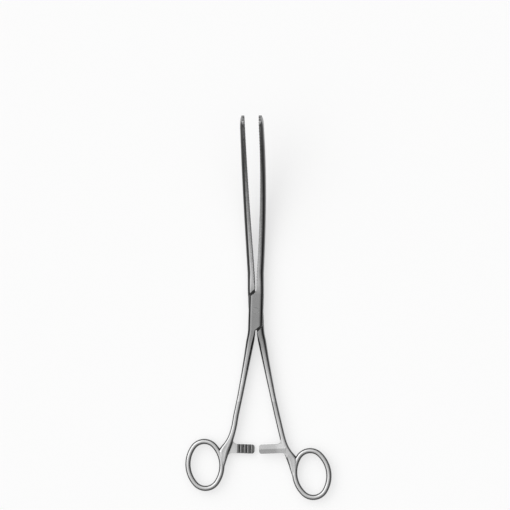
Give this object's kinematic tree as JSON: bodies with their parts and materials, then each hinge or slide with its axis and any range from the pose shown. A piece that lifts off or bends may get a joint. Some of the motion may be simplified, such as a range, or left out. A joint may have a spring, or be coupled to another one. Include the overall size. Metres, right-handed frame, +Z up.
{
  "type": "intestinal clamp",
  "caption": "Curved intestinal clamp with a box lock, long obliquely serrated jaws, finger rings and a toothed ratchet.",
  "frame": {"origin": "on the axis of the pivot pin, at the flat underside of the box that the clamp rests on", "axes": "+Y along the clamp towards the jaw tips, +Z up along the pin, X across in the opening direction"},
  "size_m": [0.0969, 0.2532, 0.0486],
  "materials": {
    "box_half_steel": "satin",
    "tongue_half_steel": "satin",
    "pin_steel": "polished"
  },
  "bodies": {
    "box_side": {"box_half": "box_half_steel", "pivot_pin": "pin_steel"},
    "tongue_side": {"tongue_half": "tongue_half_steel"}
  },
  "joints": [
    {"name": "box_lock", "type": "hinge", "parent": "box_side", "child": "tongue_side", "pos_m": [0, 0, 0.0045], "axis": [0, 0, 1], "range_deg": [-4.2, 85.8]}
  ]
}
